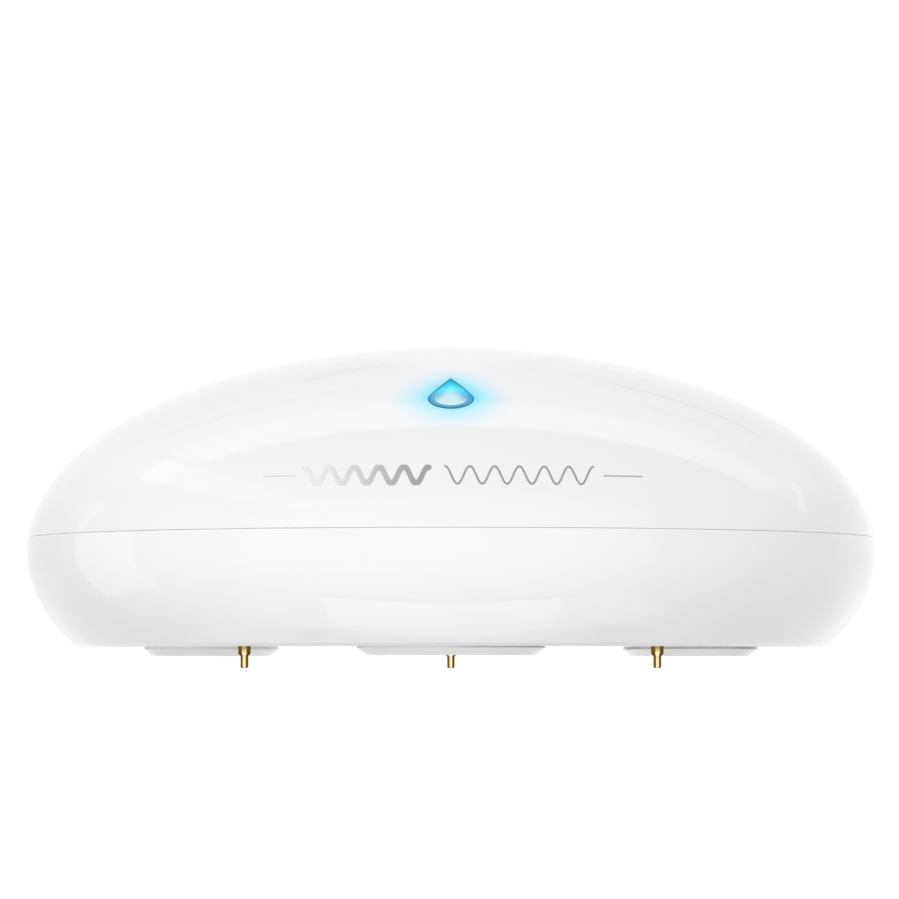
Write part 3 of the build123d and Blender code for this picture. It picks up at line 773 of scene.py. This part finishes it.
def clear_plastic(name, tint):
    """Clear moulded plastic, from a colour on screen."""
    paint = new_paint(name)
    cloud = paint.noise(clear_cloud_per_m, detail=2)
    paint.set(Base_Color=paint.mix(cloud, srgb(*tint), full_white), IOR=clear_ior,
              Transmission_Weight=1.0)
    paint.roughness(cloud, clear_roughness)
    return paint.owner


def circuit_board():
    """Green solder mask over copper tracks and filled areas."""
    paint = new_paint("circuit_board")
    tracks = []
    for way, per_m, reach in zip(paint.parts(paint.place()), track_bends_per_m, track_bend_reach):
        bent = paint.plus(way, paint.times(paint.noise(per_m, detail=0), reach))
        tracks.append(paint.fall(paint.calc("PINGPONG", bent, track_pitch / 2), track_edge))
    fill = paint.rise(paint.noise(fill_per_m, detail=1), fill_span)
    tracks_or_none = paint.times(paint.calc("MAXIMUM", *tracks), track_share)
    copper = paint.calc("MAXIMUM", tracks_or_none, fill)
    paint.set(Base_Color=paint.mix(copper, *board_greens))
    paint.roughness(paint.noise(board_gloss_per_m, detail=3), board_roughness)
    paint.bump(copper, copper_depth)
    return paint.owner


def printed_sleeve():
    """Plain shrink sleeve in blue with a silver band."""
    paint = new_paint("cell_sleeve")
    x = paint.parts(paint.place())[0]
    blue = paint.mix(paint.noise(sleeve_blue_per_m, detail=3), *sleeve_blues)
    paint.set(Base_Color=paint.mix(paint.within(x, sleeve_band_x), blue, sleeve_silver))
    paint.roughness(paint.noise(sleeve_gloss_per_m, detail=3), sleeve_roughness)
    paint.bump(paint.noise(sleeve_wave_per_m, detail=4), sleeve_wave_depth)
    return paint.owner


# Finish of each material slot. In the rows of moulded and metal: dark and light colour, roughness
finishes = {
    "white_shell": white_plastic("white_plastic", False),
    "seal_rubber": moulded("seal_rubber", (28, 28, 30), (44, 44, 46), (0.45, 0.6)),
    "clear_guide": clear_plastic("clear_guide", (225, 240, 246)),
    "foot_plastic": foot_plastic(),
    "gold": gold_plate(),
    "spring_steel": metal("spring_steel", (150, 152, 156), (205, 207, 210), (0.2, 0.35)),
    "green_board": circuit_board(),
    "steel_screws": metal("steel_screws", (160, 162, 166), (212, 214, 218), (0.18, 0.32)),
    "cell_can": metal("cell_can", (165, 166, 168), (215, 216, 218), (0.25, 0.4)),
    "cell_sleeve": printed_sleeve(),
    "black_plastic": moulded("black_plastic", (24, 24, 26), (38, 38, 41), (0.4, 0.55)),
    "nickel_strip": metal("nickel_strip", (176, 174, 168), (226, 224, 216), (0.14, 0.28),
                          fine_along_x),
    "led": clear_plastic("led", (235, 240, 245)),
    "chip": moulded("chip", (20, 20, 22), (34, 34, 37), (0.4, 0.55), grain_per_m=6000),
    "shield": metal("shield", (170, 172, 174), (214, 216, 218), (0.22, 0.36), fine_along_x),
    "antenna_wire": metal("antenna_wire", (186, 112, 62), (232, 160, 104), (0.18, 0.3)),
    "ceramic_chips": moulded("ceramic_chips", (150, 124, 92), (176, 150, 116), (0.4, 0.55),
                             grain_per_m=5000),
    "button_cap": moulded("button_cap", (222, 221, 216), (234, 233, 228), (0.35, 0.5)),
    "buzzer_black": moulded("buzzer_black", (22, 22, 22), (36, 36, 36), (0.3, 0.45)),
    "buzzer_brass": metal("buzzer_brass", (190, 150, 76), (230, 196, 120), (0.2, 0.34)),
    "terminal_green": moulded("terminal_green", (36, 110, 58), (48, 132, 72), (0.35, 0.5)),
    "blue_lens": lens_light(),
}
cover_finish = white_plastic("white_plastic_cover", True)


def dress(piece, material):
    """Gives a piece one material."""
    piece.data.materials.clear()
    piece.data.materials.append(material)


for subpart in frame["record"]["subparts"]:
    dress(nodes_by_name[subpart["node"]], finishes[subpart["material_slot"]])
dress(nodes_by_name["top_cover"], cover_finish)


def new_piece(name, mesh, body, slot, *stands_for):
    """Adds a finished mesh to the scene, on a body, in place of CAD nodes."""
    piece = bpy.data.objects.new(name, mesh)
    bpy.context.scene.collection.objects.link(piece)
    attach(piece, body)
    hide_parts(*stands_for)
    dress(piece, finishes[slot])
    return piece


def mesh_from_rings(name, rings):
    """Smooth closed mesh through rings of as many points each, joined in order."""
    form = bmesh.new()
    rows = [[form.verts.new(point) for point in ring] for ring in rings]
    for row, following in zip(rows, rows[1:]):
        for i in range(len(row)):
            j = (i + 1) % len(row)
            form.faces.new((row[i], row[j], following[j], following[i]))
    form.faces.new(list(reversed(rows[0])))
    form.faces.new(rows[-1])
    bmesh.ops.recalc_face_normals(form, faces=form.faces)
    mesh = bpy.data.meshes.new(name)
    form.to_mesh(mesh)
    form.free()
    mesh.shade_smooth()
    mesh.set_sharp_from_angle(angle=sharp_angle)
    return mesh


def drop_outline(grow):
    """Points round the drop on the window's plane, with the sides moved outwards by an amount."""
    arc_steps = 72
    side_steps = 16
    r = drop_round_r + grow
    tip = drop_tip * r / drop_round_r
    start = math.asin(r / tip)
    sweep = math.pi + 2 * start
    angles = [start - sweep * i / arc_steps for i in range(arc_steps + 1)]
    points = [(r * math.cos(angle), r * math.sin(angle)) for angle in angles]
    left = points[-1]
    right = points[0]
    points += [(left[0] * (1 - i / side_steps), left[1] + (tip - left[1]) * i / side_steps)
               for i in range(1, side_steps + 1)]
    points += [(right[0] * i / side_steps, tip + (right[1] - tip) * i / side_steps)
               for i in range(1, side_steps)]
    return points


def on_window(across, up, out):
    """Point over the window's plane."""
    return window_centre + window_right * across + window_up * up + window_out * out


def over_pebble(across, up, rise):
    """Point at a height over the pebble's surface, along the window's way out."""
    inverse = Vector((1 / body_r**2, 1 / body_r**2, 1 / body_half_h**2))
    centred = on_window(across, up, 0) - Vector((0, 0, equator_z))
    a = sum(k * n * n for k, n in zip(inverse, window_out))
    b = 2 * sum(k * n * c for k, n, c in zip(inverse, window_out, centred))
    c = sum(k * v * v for k, v in zip(inverse, centred)) - 1
    return on_window(across, up, (-b + math.sqrt(b * b - 4 * a * c)) / (2 * a) + rise)


def lens_mesh():
    """Drop-shaped lens with a slight crown, a bevelled edge, straight sides and its flange."""
    bevel_share = 0.93
    crown_steps = 14
    outline = drop_outline(-lens_gap)
    flange = drop_outline(lens_flange_grow)
    rings = []
    for step in range(1, crown_steps + 1):
        share = bevel_share * step / crown_steps
        rise = lens_crown * (1 - share * share)
        rings.append([over_pebble(u * share, v * share, rise) for u, v in outline])
    rings.append([over_pebble(u, v, -lens_edge_dip) for u, v in outline])
    for edge, depth in ((outline, lens_depth), (flange, lens_depth),
                        (flange, lens_depth + lens_flange_t)):
        rings.append([on_window(u, v, -depth) for u, v in edge])
    return mesh_from_rings("lit_lens", rings)


new_piece("lit_lens", lens_mesh(), "cover", "blue_lens", "indicator_lens")


def spring_mesh(name, centre, low_z, high_z):
    """Wound wire with round section between two heights."""
    around_wire = 12
    per_turn = 40
    steps = per_turn * spring_turns
    rise = high_z - low_z - 2 * spring_wire_r
    rings = []
    for step in range(steps + 1):
        angle = math.tau * step / per_turn
        height = low_z + spring_wire_r + rise * step / steps
        way_out = Vector((math.cos(angle), math.sin(angle), 0))
        middle = Vector((centre.x, centre.y, height)) + way_out * spring_mean_r
        rings.append([middle + way_out * (spring_wire_r * math.cos(math.tau * i / around_wire))
                      + Vector((0, 0, spring_wire_r * math.sin(math.tau * i / around_wire)))
                      for i in range(around_wire)])
    return mesh_from_rings(name, rings)


for place in ("rear", "left", "right"):
    node = "probe_spring_" + place
    low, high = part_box(node)
    probe = sum(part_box("probe_barrel_" + place), Vector()) / 2
    name = "round_spring_" + place
    mesh = spring_mesh(name, probe, low.z, high.z)
    piece = new_piece(name, mesh, "housing", "spring_steel", node)
    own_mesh(piece)


def wall_place(paint, depth, along, up):
    """Place where a direction meets a wall at unit distance, and 1 where it does meet it."""
    safe = paint.calc("MAXIMUM", depth, wall_least_depth)
    return (paint.calc("DIVIDE", along, safe), paint.calc("DIVIDE", up, safe),
            paint.rise(depth, wall_horizon))


def patch(paint, facing, first, first_band, second, second_band):
    """1 on a patch of a wall, between the limits of two bands."""
    return paint.times(facing, paint.within(first, first_band), paint.within(second, second_band))


def ceiling_lights(paint, x, y, z):
    """Curved bar, strip and thin gaps overhead."""
    across, back, facing = wall_place(paint, z, x, y)
    bow = paint.times(across, across, bar_bow)
    from_edge = paint.minus(paint.minus(back, bar_back), bow)
    edge = paint.times(facing, paint.rise(from_edge, (-bar_edge_soft, bar_edge_soft)))
    bar = paint.times(edge, paint.within(across, bar_across), paint.fall(from_edge, bar_fall))
    fade = paint.times(edge, paint.within(across, fade_across), paint.fall(from_edge, fade_fall))
    from_middle = paint.plus(across, left_gap_shift)
    left_off = paint.minus(paint.minus(back, left_gap_back),
                           paint.times(from_middle, from_middle, left_gap_bow))
    slant_off = paint.minus(paint.minus(back, tick_back), paint.times(across, tick_slope))
    return (
        (bar_gain, bar),
        (fade_gain, fade),
        (strip_gain, patch(paint, facing, across, strip_across, back, strip_back)),
        (gap_gain, patch(paint, facing, left_off, left_gap_off, across, left_gap_across)),
        (gap_gain, patch(paint, facing, back, near_gap_back, across, near_gap_across)),
        (gap_gain, patch(paint, facing, back, far_gap_back, across, far_gap_across)),
        (tick_gain, patch(paint, facing, slant_off, tick_off, across, tick_across)),
    )


def left_pane(paint, x, y, z):
    """Window-like pane on the left, a little behind the object."""
    back, up, facing = wall_place(paint, paint.against(x), y, z)
    return ((pane_gain, patch(paint, facing, back, pane_back, up, pane_up)),
            (pane_bar_gain, patch(paint, facing, back, pane_bar_back, up, pane_bar_up)))


def right_streak(paint, x, y, z):
    """Thin slanted light on the right, a little behind the object."""
    back, up, facing = wall_place(paint, x, y, z)
    off = paint.minus(up, paint.times(back, streak_slope))
    return (streak_gain, patch(paint, facing, off, streak_off, back, streak_back)),


def front_panel(paint, x, y, z):
    """Large soft panel round the camera, with a crisp edge on the right and below."""
    across, up, facing = wall_place(paint, paint.against(y), x, z)
    sides = paint.times(paint.rise(across, front_left), paint.fall(across, front_right))
    ends = paint.times(paint.rise(up, front_low), paint.fall(up, front_high))
    return (front_gain, paint.times(facing, sides, ends)),


def ground_lights(paint, x, y, z):
    """Bright sheet on the ground in front, and the slots, openings and shade under the object."""
    across, ahead, facing = wall_place(paint, paint.against(z), x, paint.against(y))
    away = paint.calc("ABSOLUTE", paint.plus(across, sheet_shift))
    past = paint.minus(away, paint.plus(paint.times(ahead, sheet_spread), sheet_half_w))
    sheet = paint.times(facing, paint.fall(past, (-sheet_edge_soft, sheet_edge_soft)),
                        paint.within(ahead, sheet_ahead),
                        paint.step(ahead, *sheet_dim_ahead, sheet_dim_share, 1.0))
    side = paint.times(facing, paint.fall(away, side_away), paint.within(ahead, side_ahead))
    edge = paint.times(facing, paint.within(ahead, edge_ahead), paint.fall(away, edge_away))
    off_middle = paint.calc("ABSOLUTE", paint.minus(across, slot_shift))
    return (
        (sheet_gain, sheet),
        (side_gain, side),
        (edge_gain, edge),
        (slot_gain, patch(paint, facing, off_middle, slot_off, ahead, slot_ahead)),
        (opening_gain, patch(paint, facing, off_middle, opening_off, ahead, opening_ahead)),
        (under_gain, paint.times(facing, paint.within(ahead, under_ahead))),
    )


def broad_shades(paint, x, y, z):
    """Broad changes of brightness round the room."""
    down = paint.against(z)
    right = paint.times(paint.rise(x, right_x), paint.fall(y, right_y), paint.fall(z, right_z))
    left = paint.times(paint.fall(x, left_x), paint.rise(y, left_y), paint.fall(z, left_z))
    behind = paint.times(paint.rise(y, behind_y), paint.rise(z, behind_z))
    top = paint.times(paint.within(x, top_x), paint.within(z, top_z), paint.rise(y, top_y))
    behind_low = paint.times(paint.rise(y, behind_low_y), paint.rise(down, behind_low_down))
    behind_right = paint.times(paint.rise(x, behind_right_x), paint.rise(y, behind_right_y),
                               paint.fall(z, behind_right_z))
    return ((sky_gain, paint.rise(z, sky_up)), (ground_gain, paint.rise(down, ground_down)),
            (right_gain, right), (left_gain, left), (behind_gain, behind), (top_gain, top),
            (behind_low_gain, behind_low), (behind_right_gain, behind_right))


def world_light():
    """White room with the soft lights that the gloss reflects. The camera sees plain white."""
    world = bpy.data.worlds.new("studio")
    bpy.context.scene.world = world
    paint = Nodes(world)
    paint.tree.nodes.clear()
    world.cycles.sampling_method = "NONE"
    x, y, z = paint.parts(paint.add("ShaderNodeTexCoord").outputs["Generated"])
    level = room_level
    for lights in (ceiling_lights, left_pane, right_streak, front_panel, ground_lights,
                   broad_shades):
        for gain, mask in lights(paint, x, y, z):
            level = paint.plus(level, paint.times(mask, gain))
    studio = paint.add("ShaderNodeBackground")
    seen = paint.add("ShaderNodeBackground")
    for lit, strength in ((studio, level), (seen, seen_level)):
        paint.put(lit.inputs["Color"], full_white)
        paint.put(lit.inputs["Strength"], strength)
    mixer = paint.add("ShaderNodeMixShader")
    paint.put(mixer.inputs[0], paint.add("ShaderNodeLightPath").outputs["Is Camera Ray"])
    paint.put(mixer.inputs[1], studio.outputs[0])
    paint.put(mixer.inputs[2], seen.outputs[0])
    paint.put(paint.add("ShaderNodeOutputWorld").inputs["Surface"], mixer.outputs[0])


def studio_floor():
    """Pale round floor that takes shadows, open when it is seen from below."""
    form = bmesh.new()
    bmesh.ops.create_circle(form, cap_ends=True, segments=floor_segments, radius=floor_r_m)
    mesh = bpy.data.meshes.new("floor")
    form.to_mesh(mesh)
    form.free()
    floor = bpy.data.objects.new("floor", mesh)
    floor.location.z = -floor_drop
    bpy.context.scene.collection.objects.link(floor)
    floor.visible_diffuse = False
    floor.visible_glossy = False
    floor.visible_transmission = False
    floor.visible_shadow = False
    paint = new_paint("floor_white")
    paint.set(Base_Color=paint.mix(paint.noise(floor_tone_per_m, detail=3), *floor_tones),
              Roughness=floor_roughness, Specular_IOR_Level=0.0,
              Emission_Color=full_white, Emission_Strength=floor_light_level)
    mixer = paint.add("ShaderNodeMixShader")
    paint.put(mixer.inputs[0], paint.add("ShaderNodeNewGeometry").outputs["Backfacing"])
    paint.put(mixer.inputs[1], paint.shader.outputs[0])
    paint.put(mixer.inputs[2], paint.add("ShaderNodeBsdfTransparent").outputs[0])
    paint.put(paint.find("OUTPUT_MATERIAL").inputs["Surface"], mixer.outputs[0])
    dress(floor, paint.owner)


def camera():
    """Camera on the floor's level, aimed as the photograph is."""
    data = bpy.data.cameras.new("camera")
    data.sensor_width = sensor_w_mm
    data.lens = data.sensor_width * focal_px / image_px
    data.clip_start, data.clip_end = clip_span_m
    eye = bpy.data.objects.new("camera", data)
    bpy.context.scene.collection.objects.link(eye)
    eye.location = (0, -camera_distance, 0)
    middle = (image_px - 1) / 2
    aim = Vector(((middle - axis_px) / focal_px, 1.0, (horizon_px - middle) / focal_px))
    eye.rotation_mode = "QUATERNION"
    eye.rotation_quaternion = aim.to_track_quat("-Z", "Y")
    bpy.context.scene.camera = eye


world_light()
studio_floor()
camera()

bpy.context.scene.view_settings.view_transform = "Standard"
